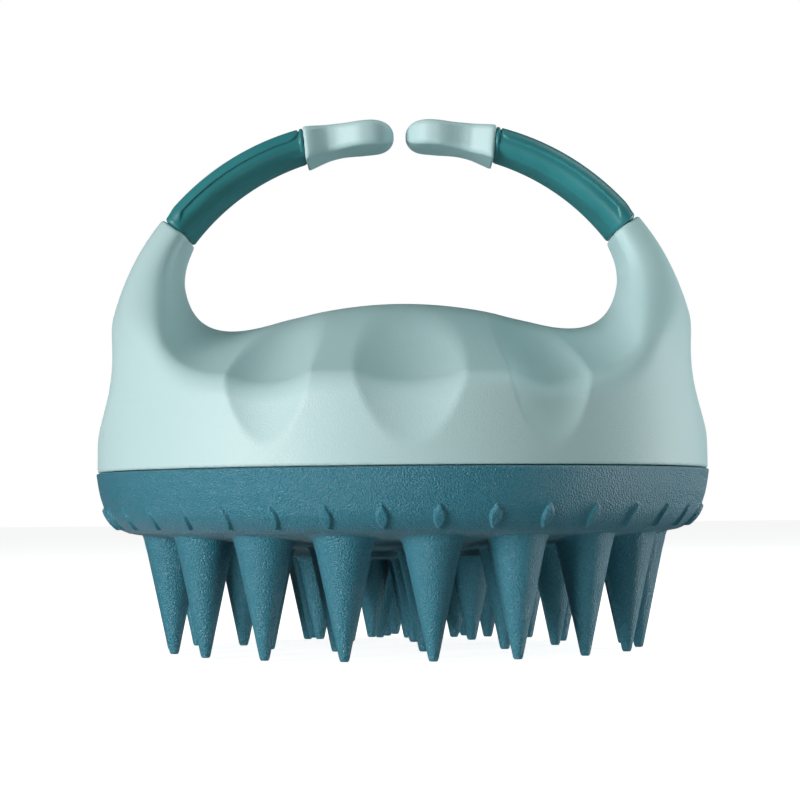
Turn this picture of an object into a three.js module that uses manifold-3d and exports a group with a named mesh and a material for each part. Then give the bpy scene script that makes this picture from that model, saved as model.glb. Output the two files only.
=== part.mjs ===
// Scalp massager brush: a round silicone bristle pad under a hard dome with finger scoops,
// and a loop handle made of two springy arms that leave a slot between their tips.
// Millimetres, +Z up, front at -Y, origin on the axis at the plane of the outer bristle tips.
import * as THREE from 'three';
import { mergeVertices } from 'three/addons/utils/BufferGeometryUtils.js';
import Module from 'manifold-3d';

const wasm = await Module();
wasm.setup();

const GAP = 0.3;

// Bristles: rings from the outside in. The phase is the first bristle's angle from the front.
const BRISTLE_PHASE = 6.5;
const BRISTLE_SEGMENTS = 10;
const TIP_FLAT_RADIUS = 0.5;
const TIP_RADIUS = 0.65;
const TIP_ROUNDING = 0.35;
const BRISTLE_RINGS = [
  { name: 'outer', count: 18, ring: 33.2, seat: 16.5, tip: 0, base: 4.0, phase: BRISTLE_PHASE },
  { name: 'middle', count: 12, ring: 22.8, seat: 15.0, tip: 0.75, base: 3.5, phase: BRISTLE_PHASE },
  { name: 'inner', count: 8, ring: 12.0, seat: 13.5, tip: 1.5, base: 3.1, phase: BRISTLE_PHASE },
  { name: 'centre', count: 5, ring: 5.0, seat: 12.75, tip: 1.75, base: 2.8, phase: BRISTLE_PHASE },
];

// Pad
const RIM_RADIUS = 43.4;
const RIM_TOP = 25.0;
const RIM_INNER_RADIUS = 40.6;
const WEB_EDGE_TOP = 19.2;
const WEB_CENTRE_TOP = 15.4;
const BEAD_BOTTOM = 21.4;
const BEAD_TOP = 22.8;
const BEAD_DEPTH = 0.9;
const WEB_MIDDLE_RADIUS = 18;
const WEB_MIDDLE_RISE = 0.8;
const INNER_STEP_RADIUS = 18.2;
const SEAT_MARGIN = 0.2;
const BEVEL_FOOT_RADIUS = 37.6;
const BEVEL_PROFILE = [[40.2, 17.4], [41.8, 19.0], [42.7, 21.4], [RIM_RADIUS, 24.0]];

// Dome
const SHELL_RADIUS = 43.2;
const SHELL_BOTTOM = 25.2;
const CROWN_TOP = 48.9;
const CROWN_DROP = 0.0088;
const CROWN_EASE = 1.13e-6;
const SHELL_WALL = 2.3;
const ROUND_SEGMENTS = 72;
const INNER_SEGMENTS = 40;
const WALL_PROFILE = [
  [43.15, 28.6],
  [42.95, 31.6],
  [42.75, 34.2],
  [42.45, 35.6],
  [41.9, 36.5],
  [41.0, 37.15],
];
const CROWN_RADII = [38, 34, 30, 26, 22, 18, 12, 6, 0];
const CAVITY_RADII = [36, 30, 24, 16, 8, 0];
const CAVITY_SHOULDER = [[40.8, 28.6], [39.6, 31.4]];
const CAVITY_DEEPER = 1.6;

// Horns: the surface outside, the finger loop's outline seen from the front, the width from the side
const ENVELOPE_PROFILE = [
  [43.05, 30],
  [42.85, 32.4],
  [42.65, 35],
  [42.45, 37.6],
  [42.15, 40.4],
  [41.75, 43.3],
  [41.3, 45.6],
  [40.4, 48.8],
  [39.0, 52.4],
  [37.0, 56.4],
  [34.9, 59.6],
  [32.6, 62.6],
];
const HORN_BLOCK_OUTER_X = 46;
const HORN_BLOCK_INNER_X = 17;
const HORN_BLOCK_BOTTOM = 30.5;
const HORN_BLOCK_SHOULDER = 52;
const HORN_BLOCK_SPAN = 90;
const HORN_END_OFFSET = 6;
const LOOP_SIDE = [31.8, 55.2, 32.1, 51.4, 30.6, 48.5];
const LOOP_CORNER = [29.4, 46.2, 27.0, 45.0, 23.4, 44.4];
const LOOP_FLOOR_END = 40.5;
const HORN_WIDTH_PROFILE = [
  [34, 31],
  [34, 37],
  [30, 39.2],
  [26, 42],
  [21, 45.6],
  [16.6, 49.2],
  [12.8, 52.8],
  [9.8, 56.6],
  [8.2, 59.8],
  [7.8, 62.6],
];
const LOOP_FLARE = 0.006;
const FLARE_HEIGHTS = [44, 50];
const FALL_HEIGHTS = [49, 58];

// Finger scoops: angles from the front, positive to the right
const FRONT_SCOOPS = [-28, 2, 32, 148, 178, 208];
const SIDE_SCOOPS = [90, 270];
const SCOOP_DEPTH = 2.0;
const SCOOP_HALF_WIDTH = 7.2;
const SCOOP_SHOULDER_Z = 36.8;
const SCOOP_WALL_REACH = 7.9;
const SCOOP_SHOULDER_RADIUS = 39;
const SCOOP_CROWN_REACH = 20.5;
const SCOOP_CROWN_TILT = 75.6;
const SIDE_SCOOP_DEPTH = 1.6;
const SIDE_SCOOP_HALF_WIDTH = 15.5;
const SIDE_SCOOP_Z = 38.2;
const SIDE_SCOOP_REACH = 8.0;

// Screws and bosses
const SCREW_COUNT = 4;
const SCREW_RING = 24;
const SCREW_SEAT = 19.2;
const SCREW_HEAD_RADIUS = 2.7;
const SCREW_HEAD_HEIGHT = 1.6;
const SCREW_SHANK_RADIUS = 1.2;
const SCREW_LENGTH = 11;
const SCREW_SEGMENTS = 12;
const SCREW_CHAMFER = 0.6;
const SCREW_POINT_RADIUS = 0.3;
const SCREW_POINT_HEIGHT = 1.6;
const CROSS_LENGTH = 2.6;
const CROSS_WIDTH = 0.6;
const FIRST_SCREW_ANGLE = 45;
const PLATE_BOSS_TOP = 21.2;
const PLATE_BOSS_RADIUS = 4.7;
const PLATE_BOSS_ROOT = 0.8;
const SHELL_BOSS_RADIUS = 3.4;
const SHELL_BOSS_ROOT = 1.5;
const BOSS_SEGMENTS = 16;

// Plate
const PLATE_THICKNESS = 2.0;
const PLATE_TOP = 28.0;

// Arms: both follow one arc in the XZ plane. Angles are measured at the arc's centre.
const ARM_CENTRE_X = 4.1;
const ARM_CENTRE_Z = 38.5;
const ARM_RADIUS = 34.4;
const SLEEVE_START = 37.6;
const SLEEVE_END = 73.0;
const HORN_END = 36.7;
const HINGE_ANGLE = 33.4;
const SLOT_EXTRA_ANGLE = 2.8;
const CORE_END = 79.0;
const TIP_START = 73.5;
const SLEEVE_START_HALF = 2.25;
const SLEEVE_END_HALF = 1.95;
const SLEEVE_START_HALF_WIDTH = 7.8;
const SLEEVE_END_HALF_WIDTH = 6.2;
const CORE_HALF = 0.85;
const CORE_HALF_WIDTH = 4.0;
const KNUCKLE_RADIUS = 1.25;
const TIP_WAIST_HALF_WIDTH = 5.1;
const TIP_PADDLE_HALF_WIDTH = 6.3;
const TIP_WAIST_X = 8.8;
const TIP_PADDLE_X = 4.6;
const TIP_END_X = 1.05;
const TIP_SOCKET_LIP = 0.25;
const TIP_SOCKET_HALF_WIDTH = 6.4;
const TIP_TOP_CURVE = [10.5, 74.4, 7.5, 74.0, TIP_PADDLE_X, 74.5];
const TIP_NOSE_TOP_CURVE = [2.4, 74.7, TIP_END_X, 74.0, TIP_END_X, 72.8];
const TIP_NOSE_BOTTOM_CURVE = [TIP_END_X, 71.4, 2.6, 71.2, TIP_PADDLE_X, 71.15];
const TIP_BOTTOM_CURVE = [7.5, 71.1, 9.5, 70.7];
const TIP_END_POWER = 2.4;
const BEND_STEPS = 14;
const EDGE_ROUNDING = 0.24;
const OPEN_END = 3;
const CORE_END_ROOM = 0.5;

const mint = { color: 0xbcdcdb, roughness: 0.5, metalness: 0 };
const mintDark = { color: 0xa9cbc9, roughness: 0.55, metalness: 0 };
const silicone = { color: 0x3f8296, roughness: 0.6, metalness: 0 };
const sleeveTeal = { color: 0x358083, roughness: 0.45, metalness: 0 };
const steel = { color: 0xb8bcc0, roughness: 0.35, metalness: 1 };

function radians(degrees) {
  return THREE.MathUtils.degToRad(degrees);
}

// A closed geometry as a manifold solid, with its seams merged and its zero-area faces left out.
function toSolid(geometry) {
  const plain = geometry.clone();
  plain.deleteAttribute('normal');
  plain.deleteAttribute('uv');
  const merged = mergeVertices(plain, 1e-4);
  const index = merged.index.array;
  const faces = [];
  for (let i = 0; i < index.length; i += 3) {
    const [a, b, c] = [index[i], index[i + 1], index[i + 2]];
    if (a !== b && b !== c && c !== a) {
      faces.push(a, b, c);
    }
  }
  return new wasm.Manifold(new wasm.Mesh({
    numProp: 3,
    vertProperties: merged.attributes.position.array,
    triVerts: new Uint32Array(faces),
  }));
}

function toGeometry(solid) {
  const mesh = solid.getMesh();
  const geometry = new THREE.BufferGeometry();
  geometry.setAttribute('position', new THREE.BufferAttribute(mesh.vertProperties.slice(), 3));
  geometry.setIndex(new THREE.BufferAttribute(mesh.triVerts.slice(), 1));
  geometry.computeVertexNormals();
  return geometry;
}

// A profile of [radius, z] points, from the bottom up, turned about the Z axis.
function revolve(points, segments) {
  const profile = points.map(([radius, z]) => new THREE.Vector2(radius, z));
  const geometry = new THREE.LatheGeometry(profile, segments);
  geometry.rotateX(Math.PI / 2);
  return geometry;
}

function rod(radius, bottom, top, segments) {
  return revolve([[0, bottom], [radius, bottom], [radius, top], [0, top]], segments);
}

// An XZ outline made as wide as fullWidth along Y, with its edges rounded.
function acrossY(shape, fullWidth, rounding, steps = 1) {
  const geometry = new THREE.ExtrudeGeometry(shape, {
    depth: fullWidth - 2 * rounding,
    steps,
    curveSegments: 8,
    bevelEnabled: rounding > 0,
    bevelThickness: rounding,
    bevelSize: rounding,
    bevelOffset: -rounding,
    bevelSegments: 2,
  });
  geometry.rotateX(Math.PI / 2);
  geometry.translate(0, fullWidth / 2 - rounding, 0);
  return geometry;
}

// A YZ outline made as long as fullLength along X.
function acrossX(shape, fullLength) {
  const geometry = new THREE.ExtrudeGeometry(shape, { depth: fullLength, bevelEnabled: false });
  geometry.rotateX(Math.PI / 2);
  geometry.rotateZ(Math.PI / 2);
  geometry.translate(-fullLength / 2, 0, 0);
  return geometry;
}

function moveVertices(geometry, mover) {
  const position = geometry.attributes.position;
  const point = new THREE.Vector3();
  for (let i = 0; i < position.count; i += 1) {
    point.fromBufferAttribute(position, i);
    mover(point);
    position.setXYZ(i, point.x, point.y, point.z);
  }
  return geometry;
}

// The same geometry on the other side of the X = 0 plane.
function mirrored(geometry) {
  const copy = geometry.clone();
  copy.scale(-1, 1, 1);
  const index = copy.index.array;
  for (let i = 0; i < index.length; i += 3) {
    [index[i], index[i + 1]] = [index[i + 1], index[i]];
  }
  return copy;
}

function aroundAxis(count, phase, ring) {
  return Array.from({ length: count }, (_, i) => {
    const angle = radians(phase + (360 / count) * i);
    return [ring * Math.sin(angle), -ring * Math.cos(angle)];
  });
}

function crownZ(radius) {
  return CROWN_TOP - CROWN_DROP * radius ** 2 + CROWN_EASE * radius ** 4;
}

// How far around the rim, in millimetres, a point lies from a scoop's centre line.
function arcAway(point, degrees) {
  const angle = Math.atan2(point.x, -point.y) - radians(degrees);
  return Math.atan2(Math.sin(angle), Math.cos(angle)) * Math.hypot(point.x, point.y);
}

// A scoop is deepest at the shoulder and fades out down the wall and up the crown.
function cutScoops(point) {
  const radius = Math.hypot(point.x, point.y);
  const onCrown = point.z > SCOOP_SHOULDER_Z;
  const along = onCrown
    ? (SCOOP_SHOULDER_RADIUS - radius) / SCOOP_CROWN_REACH
    : (SCOOP_SHOULDER_Z - point.z) / SCOOP_WALL_REACH;
  const sharpness = SCOOP_DEPTH / SCOOP_HALF_WIDTH ** 2;
  const middle = SCOOP_DEPTH * (1 - along ** 2);
  const depths = FRONT_SCOOPS.map((degrees) => middle - sharpness * arcAway(point, degrees) ** 2);
  const depth = Math.max(0, ...depths);
  const rise = THREE.MathUtils.smoothstep(point.z, SCOOP_SHOULDER_Z - 3, SCOOP_SHOULDER_Z + 2);
  const tilt = rise * radians(SCOOP_CROWN_TILT);
  const inward = (depth * Math.cos(tilt)) / Math.max(radius, 1);
  point.set(point.x * (1 - inward), point.y * (1 - inward), point.z - depth * Math.sin(tilt));
}

function cutSideScoops(point) {
  const radius = Math.hypot(point.x, point.y);
  const along = (point.z - SIDE_SCOOP_Z) / SIDE_SCOOP_REACH;
  const sharpness = SIDE_SCOOP_DEPTH / SIDE_SCOOP_HALF_WIDTH ** 2;
  const middle = SIDE_SCOOP_DEPTH * (1 - along ** 2);
  const depths = SIDE_SCOOPS.map((degrees) => middle - sharpness * arcAway(point, degrees) ** 2);
  const shrink = 1 - Math.max(0, ...depths) / Math.max(radius, 1);
  point.set(point.x * shrink, point.y * shrink, point.z);
}

function domeSolid() {
  const wall = [[0, SHELL_BOTTOM], [SHELL_RADIUS, SHELL_BOTTOM], ...WALL_PROFILE];
  const crown = CROWN_RADII.map((radius) => [radius, crownZ(radius)]);
  const geometry = revolve([...wall, ...crown], ROUND_SEGMENTS);
  return toSolid(moveVertices(moveVertices(geometry, cutScoops), cutSideScoops));
}

// The hollow stays clear of the scoops, so the crown is thicker than the wall.
function cavitySolid() {
  const drop = SHELL_WALL + CAVITY_DEEPER;
  const crown = CAVITY_RADII.map((radius) => [radius, crownZ(radius) - drop]);
  const [[inner]] = CAVITY_SHOULDER;
  const skirt = [[0, SHELL_BOTTOM - 1], [inner, SHELL_BOTTOM - 1], ...CAVITY_SHOULDER];
  return toSolid(revolve([...skirt, ...crown], INNER_SEGMENTS));
}

// The surface that the dome's wall and the outsides of both horns share.
function envelopeSolid() {
  const [[, bottom]] = ENVELOPE_PROFILE;
  const [, top] = ENVELOPE_PROFILE[ENVELOPE_PROFILE.length - 1];
  const outline = [[0, bottom], ...ENVELOPE_PROFILE, [0, top]];
  return toSolid(moveVertices(revolve(outline, ROUND_SEGMENTS), cutSideScoops));
}

function armPoint(degrees, offset) {
  const reach = ARM_RADIUS + offset;
  return new THREE.Vector2(
    ARM_CENTRE_X + reach * Math.cos(radians(degrees)),
    ARM_CENTRE_Z + reach * Math.sin(radians(degrees)),
  );
}

// A band along the arm's arc, with its half-thickness growing evenly from one end to the other.
function bandShape(from, to, startHalf, endHalf, steps) {
  const outer = [];
  const inner = [];
  for (let i = 0; i <= steps; i += 1) {
    const angle = THREE.MathUtils.lerp(from, to, i / steps);
    const half = THREE.MathUtils.lerp(startHalf, endHalf, i / steps);
    outer.push(armPoint(angle, half));
    inner.unshift(armPoint(angle, -half));
  }
  return new THREE.Shape([...outer, ...inner]);
}

// The horn as seen from the front: the inner side is the wall of the finger loop.
function hornOutline() {
  const shape = new THREE.Shape();
  const outerEnd = armPoint(HORN_END, HORN_END_OFFSET);
  const innerEnd = armPoint(HORN_END, -SLEEVE_START_HALF);
  shape.moveTo(HORN_BLOCK_OUTER_X, HORN_BLOCK_BOTTOM);
  shape.lineTo(HORN_BLOCK_OUTER_X, HORN_BLOCK_SHOULDER);
  shape.lineTo(outerEnd.x, outerEnd.y);
  shape.lineTo(innerEnd.x, innerEnd.y);
  shape.bezierCurveTo(...LOOP_SIDE);
  shape.bezierCurveTo(...LOOP_CORNER);
  shape.lineTo(HORN_BLOCK_INNER_X, LOOP_FLOOR_END);
  shape.lineTo(HORN_BLOCK_INNER_X, HORN_BLOCK_BOTTOM);
  shape.closePath();
  return shape;
}

// The horn as seen from the side: it narrows from the dome up to the arm.
function hornSideOutline() {
  const right = HORN_WIDTH_PROFILE.map(([y, z]) => new THREE.Vector2(y, z));
  const left = HORN_WIDTH_PROFILE.map(([y, z]) => new THREE.Vector2(-y, z)).reverse();
  return new THREE.Shape([...right, ...left]);
}

// The loop's mouth is wider than its middle: its side leans out and its floor falls with the crown.
function flareLoop(point) {
  const high = THREE.MathUtils.smoothstep(point.z, ...FLARE_HEIGHTS);
  const stay = THREE.MathUtils.smoothstep(point.z, ...FALL_HEIGHTS);
  point.x += LOOP_FLARE * point.y ** 2 * high;
  point.z -= (CROWN_TOP - crownZ(Math.abs(point.y))) * (1 - stay);
}

function hornSolid() {
  const [[widest]] = HORN_WIDTH_PROFILE;
  const front = toSolid(moveVertices(acrossY(hornOutline(), 2 * widest, 0, BEND_STEPS), flareLoop));
  const side = toSolid(acrossX(hornSideOutline(), HORN_BLOCK_SPAN));
  return front.intersect(side).intersect(envelopeSolid());
}

// The slot in the horn's end where the arm's core is rooted, wide enough for it to flex.
function coreSlotSolid() {
  const half = KNUCKLE_RADIUS + GAP;
  const shape = bandShape(HINGE_ANGLE - SLOT_EXTRA_ANGLE, HORN_END + 1, half, half, 2);
  return toSolid(acrossY(shape, 2 * (CORE_HALF_WIDTH + GAP), 0));
}

function upperShell() {
  const horn = hornSolid().subtract(coreSlotSolid());
  const otherHorn = toSolid(mirrored(toGeometry(horn)));
  let shell = domeSolid().subtract(cavitySolid()).add(horn).add(otherHorn);
  for (const [x, y] of aroundAxis(SCREW_COUNT, FIRST_SCREW_ANGLE, SCREW_RING)) {
    const root = crownZ(SCREW_RING) - SHELL_BOSS_ROOT;
    const end = SCREW_SEAT + SCREW_LENGTH + 1;
    const boss = rod(SHELL_BOSS_RADIUS, PLATE_BOSS_TOP + GAP, root, BOSS_SEGMENTS);
    const pilot = rod(SCREW_SHANK_RADIUS + GAP, PLATE_BOSS_TOP - 1, end, SCREW_SEGMENTS);
    shell = shell.add(toSolid(boss.translate(x, y, 0)));
    shell = shell.subtract(toSolid(pilot.translate(x, y, 0)));
  }
  return toGeometry(shell);
}

function bristlePad() {
  const [outer, middle, inner, centre] = BRISTLE_RINGS;
  return revolve([
    [0, centre.seat],
    [centre.ring + centre.base + SEAT_MARGIN, centre.seat],
    [inner.ring - inner.base - SEAT_MARGIN / 2, inner.seat],
    [INNER_STEP_RADIUS, inner.seat],
    [middle.ring - middle.base - SEAT_MARGIN, middle.seat],
    [middle.ring + middle.base + SEAT_MARGIN, middle.seat],
    [outer.ring - outer.base - SEAT_MARGIN, outer.seat],
    [BEVEL_FOOT_RADIUS, outer.seat],
    ...BEVEL_PROFILE,
    [RIM_RADIUS, RIM_TOP],
    [RIM_INNER_RADIUS, RIM_TOP],
    [RIM_INNER_RADIUS, BEAD_TOP + GAP],
    [RIM_INNER_RADIUS + BEAD_DEPTH, BEAD_TOP],
    [RIM_INNER_RADIUS + BEAD_DEPTH, BEAD_BOTTOM],
    [RIM_INNER_RADIUS, BEAD_BOTTOM - GAP],
    [RIM_INNER_RADIUS, WEB_EDGE_TOP],
    [WEB_MIDDLE_RADIUS, WEB_CENTRE_TOP + WEB_MIDDLE_RISE],
    [0, WEB_CENTRE_TOP],
  ], ROUND_SEGMENTS);
}

function basePlate() {
  const rim = RIM_INNER_RADIUS - GAP;
  let plate = toSolid(revolve([
    [0, WEB_CENTRE_TOP + GAP],
    [WEB_MIDDLE_RADIUS, WEB_CENTRE_TOP + WEB_MIDDLE_RISE + GAP],
    [rim, WEB_EDGE_TOP + GAP],
    [rim, BEAD_BOTTOM],
    [rim + BEAD_DEPTH - GAP, BEAD_BOTTOM + GAP],
    [rim + BEAD_DEPTH - GAP, BEAD_TOP - GAP],
    [rim, BEAD_TOP],
    [rim, PLATE_TOP],
    [rim - PLATE_THICKNESS, PLATE_TOP],
    [rim - PLATE_THICKNESS, WEB_EDGE_TOP + PLATE_THICKNESS],
    [WEB_MIDDLE_RADIUS, WEB_CENTRE_TOP + WEB_MIDDLE_RISE + GAP + PLATE_THICKNESS],
    [0, WEB_CENTRE_TOP + GAP + PLATE_THICKNESS],
  ], INNER_SEGMENTS));
  for (const [x, y] of aroundAxis(SCREW_COUNT, FIRST_SCREW_ANGLE, SCREW_RING)) {
    const boss = rod(PLATE_BOSS_RADIUS, SCREW_SEAT - PLATE_BOSS_ROOT, PLATE_BOSS_TOP, BOSS_SEGMENTS);
    const recess = rod(SCREW_HEAD_RADIUS + GAP, WEB_CENTRE_TOP, SCREW_SEAT, BOSS_SEGMENTS);
    const hole = rod(SCREW_SHANK_RADIUS + GAP, SCREW_SEAT - 1, PLATE_BOSS_TOP + 1, SCREW_SEGMENTS);
    const [added, ...cut] = [boss, recess, hole].map((shape) => toSolid(shape.translate(x, y, 0)));
    plate = cut.reduce((rest, solid) => rest.subtract(solid), plate.add(added));
  }
  return toGeometry(plate);
}

// Local origin at the middle of the seat, tip pointing down.
function bristle(ring, segments) {
  const length = ring.seat - ring.tip;
  return revolve([
    [0, -length],
    [TIP_FLAT_RADIUS, -length],
    [TIP_RADIUS, TIP_ROUNDING - length],
    [ring.base, 0],
    [0, 0],
  ], segments);
}

// Local origin at the seat under the head, shank pointing up.
function screw() {
  const body = toSolid(revolve([
    [0, -SCREW_HEAD_HEIGHT],
    [SCREW_HEAD_RADIUS - SCREW_CHAMFER, -SCREW_HEAD_HEIGHT],
    [SCREW_HEAD_RADIUS, -SCREW_CHAMFER],
    [SCREW_HEAD_RADIUS, 0],
    [SCREW_SHANK_RADIUS, 0],
    [SCREW_SHANK_RADIUS, SCREW_LENGTH - SCREW_POINT_HEIGHT],
    [SCREW_POINT_RADIUS, SCREW_LENGTH],
    [0, SCREW_LENGTH],
  ], SCREW_SEGMENTS));
  const blade = new THREE.BoxGeometry(CROSS_LENGTH, CROSS_WIDTH, SCREW_HEAD_HEIGHT);
  blade.translate(0, 0, -SCREW_HEAD_HEIGHT);
  const otherBlade = blade.clone().rotateZ(Math.PI / 2);
  return toGeometry(body.subtract(toSolid(blade)).subtract(toSolid(otherBlade)));
}

function armCore() {
  const shape = bandShape(HINGE_ANGLE, CORE_END, CORE_HALF, CORE_HALF, BEND_STEPS);
  const band = toSolid(acrossY(shape, 2 * CORE_HALF_WIDTH, 0));
  const root = armPoint(HINGE_ANGLE, 0);
  const knuckle = rod(KNUCKLE_RADIUS, -CORE_HALF_WIDTH, CORE_HALF_WIDTH, 16);
  knuckle.rotateX(Math.PI / 2);
  knuckle.translate(root.x, 0, root.y);
  return toGeometry(band.add(toSolid(knuckle)));
}

// The space that the core takes up, with room all round it.
function coreSpace(from, to) {
  const half = CORE_HALF + GAP;
  return toSolid(acrossY(bandShape(from, to, half, half, BEND_STEPS), 2 * (CORE_HALF_WIDTH + GAP), 0));
}

function gripSleeve() {
  const shape = bandShape(SLEEVE_START, SLEEVE_END, SLEEVE_START_HALF, SLEEVE_END_HALF, BEND_STEPS);
  const startX = armPoint(SLEEVE_START, 0).x;
  const endX = armPoint(SLEEVE_END, 0).x;
  const outside = moveVertices(acrossY(shape, 2, EDGE_ROUNDING), (point) => {
    const share = THREE.MathUtils.clamp((point.x - endX) / (startX - endX), 0, 1);
    point.y *= THREE.MathUtils.lerp(SLEEVE_END_HALF_WIDTH, SLEEVE_START_HALF_WIDTH, share);
  });
  const space = coreSpace(SLEEVE_START - OPEN_END, SLEEVE_END + OPEN_END);
  return toGeometry(toSolid(outside).subtract(space));
}

// Seen from above, a tip narrows to a waist and widens again to a paddle with a round end.
function tipHalfWidth(x) {
  if (x < TIP_PADDLE_X) {
    const share = (TIP_PADDLE_X - x) / (TIP_PADDLE_X - TIP_END_X + 0.05);
    return TIP_PADDLE_HALF_WIDTH * Math.sqrt(Math.max(0.02, 1 - share ** TIP_END_POWER));
  }
  if (x < TIP_WAIST_X) {
    const share = THREE.MathUtils.smoothstep(x, TIP_PADDLE_X, TIP_WAIST_X);
    return THREE.MathUtils.lerp(TIP_PADDLE_HALF_WIDTH, TIP_WAIST_HALF_WIDTH, share);
  }
  const share = THREE.MathUtils.smoothstep(x, TIP_WAIST_X, armPoint(TIP_START, 0).x);
  return THREE.MathUtils.lerp(TIP_WAIST_HALF_WIDTH, TIP_SOCKET_HALF_WIDTH, share);
}

function tipOutline() {
  const shape = new THREE.Shape();
  const outer = armPoint(TIP_START, SLEEVE_END_HALF + TIP_SOCKET_LIP);
  const inner = armPoint(TIP_START, -SLEEVE_END_HALF - TIP_SOCKET_LIP);
  shape.moveTo(inner.x, inner.y);
  shape.lineTo(outer.x, outer.y);
  shape.bezierCurveTo(...TIP_TOP_CURVE);
  shape.bezierCurveTo(...TIP_NOSE_TOP_CURVE);
  shape.bezierCurveTo(...TIP_NOSE_BOTTOM_CURVE);
  shape.bezierCurveTo(...TIP_BOTTOM_CURVE, inner.x, inner.y);
  return shape;
}

function armTip() {
  const outside = moveVertices(acrossY(tipOutline(), 2, EDGE_ROUNDING), (point) => {
    point.y *= tipHalfWidth(point.x);
  });
  const space = coreSpace(TIP_START - OPEN_END, CORE_END + CORE_END_ROOM);
  return toGeometry(toSolid(outside).subtract(space));
}

const brush = new THREE.Group();

function addPiece(name, geometry, finish, parent = brush) {
  const mesh = new THREE.Mesh(geometry, new THREE.MeshStandardMaterial(finish));
  mesh.name = name;
  parent.add(mesh);
  return mesh;
}

addPiece('upper_shell', upperShell(), mint);
addPiece('base_plate', basePlate(), mintDark);
addPiece('bristle_pad', toGeometry(toSolid(bristlePad())), silicone);

for (const ring of BRISTLE_RINGS) {
  const shape = toGeometry(toSolid(bristle(ring, BRISTLE_SEGMENTS)));
  aroundAxis(ring.count, ring.phase, ring.ring).forEach(([x, y], i) => {
    const number = String(i + 1).padStart(2, '0');
    addPiece(`bristle_${ring.name}_${number}`, shape, silicone).position.set(x, y, ring.seat);
  });
}

const screwShape = screw();
aroundAxis(SCREW_COUNT, FIRST_SCREW_ANGLE, SCREW_RING).forEach(([x, y], i) => {
  addPiece(`screw_${i + 1}`, screwShape, steel).position.set(x, y, SCREW_SEAT);
});

const armPieces = [
  ['arm_core', armCore(), mintDark],
  ['grip_sleeve', gripSleeve(), sleeveTeal],
  ['arm_tip', armTip(), mint],
];
for (const [name, geometry, finish] of armPieces) {
  addPiece(`right_${name}`, geometry, finish);
  addPiece(`left_${name}`, mirrored(geometry), finish);
}

export default brush;
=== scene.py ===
"""Looks for the scalp massager brush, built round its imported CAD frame.

Shapes are worked out in millimetres in the CAD frame (+Z up, front at -Y, bristle tips at Z = 0)
and turned into metres when a mesh is made. The shell and the sleeves are moulded from distance
functions. The arm tips and the pad are joined ring by ring.
"""
import math

import bpy
import numpy as np
from mathutils import Matrix, Vector
from mathutils.geometry import delaunay_2d_cdt


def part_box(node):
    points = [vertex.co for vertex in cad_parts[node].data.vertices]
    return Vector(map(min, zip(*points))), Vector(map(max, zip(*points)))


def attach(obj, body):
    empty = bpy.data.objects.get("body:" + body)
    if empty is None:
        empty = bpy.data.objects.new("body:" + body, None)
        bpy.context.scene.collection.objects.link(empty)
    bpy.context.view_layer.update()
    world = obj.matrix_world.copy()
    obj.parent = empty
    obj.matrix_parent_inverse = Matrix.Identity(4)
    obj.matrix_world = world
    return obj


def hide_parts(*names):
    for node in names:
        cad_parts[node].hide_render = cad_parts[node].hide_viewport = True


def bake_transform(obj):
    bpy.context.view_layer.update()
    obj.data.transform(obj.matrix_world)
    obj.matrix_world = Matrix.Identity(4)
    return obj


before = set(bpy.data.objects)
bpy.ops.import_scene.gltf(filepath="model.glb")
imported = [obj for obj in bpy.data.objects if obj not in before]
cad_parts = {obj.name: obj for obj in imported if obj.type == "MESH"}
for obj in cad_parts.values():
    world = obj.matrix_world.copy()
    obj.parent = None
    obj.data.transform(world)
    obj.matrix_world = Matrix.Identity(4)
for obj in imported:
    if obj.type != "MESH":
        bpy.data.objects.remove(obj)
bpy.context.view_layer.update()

MM = 0.001
BODY = "brush_body"


def box_mm(node):
    low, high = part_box(node)
    return np.array(low) / MM, np.array(high) / MM


# ---------------------------------------------------------------- shared sizes
SHELL_LOW, SHELL_HIGH = box_mm("upper_shell")
SHELL_RADIUS = SHELL_HIGH[0]
RIM_TOP = box_mm("bristle_pad")[1][2]
RIM_SEAM = 0.2
SHELL_BOTTOM = RIM_TOP + RIM_SEAM

# Each arm follows an arc. Angles are measured at its centre, and the joints are the sleeve's two ends.
ARM_CENTRE_X = 4.1
ARM_CENTRE_Z = 38.5
ARM_RADIUS = 34.4
JOINT_ANGLE = 37.3
TIP_ANGLE = 74.1
TIP_JOINT_LEAN = 0.18
SLEEVE_HALF = (2.25, 1.98)
SLEEVE_HALF_WIDTH = (7.8, 6.2)


# ---------------------------------------------------------------- distance helpers
def smooth_max(a, b, k):
    h = np.maximum(k - np.abs(a - b), 0) / k
    return np.maximum(a, b) + h * h * k / 4


def smooth_min(a, b, k):
    return -smooth_max(-a, -b, k)


def smoothstep(x, low, high):
    t = np.clip((x - low) / (high - low), 0, 1)
    return t * t * (3 - 2 * t)


def slope_at(points, distance, reach=0.02):
    out = np.empty_like(points)
    for axis in range(3):
        shift = np.zeros(3)
        shift[axis] = reach
        out[:, axis] = (distance(points + shift) - distance(points - shift)) / (2 * reach)
    return out


# ---------------------------------------------------------------- moulding a surface
CELL_CORNERS = [(i, j, k) for i in (0, 1) for j in (0, 1) for k in (0, 1)]
LEAST_SLOPE = 0.05
LONGEST_MOVE = 0.4
SETTLING_ROUNDS = 4
TINY = 1e-9


def crossed_cells(inside):
    """The grid cells that the surface passes through, and a grid of their numbers."""
    nx, ny, nz = (n - 1 for n in inside.shape)
    count = sum(inside[i:i + nx, j:j + ny, k:k + nz].astype(np.int8) for i, j, k in CELL_CORNERS)
    active = np.argwhere((count > 0) & (count < len(CELL_CORNERS)))
    number = np.full((nx, ny, nz), -1, np.int64)
    number[tuple(active.T)] = np.arange(len(active))
    return active, number


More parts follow.
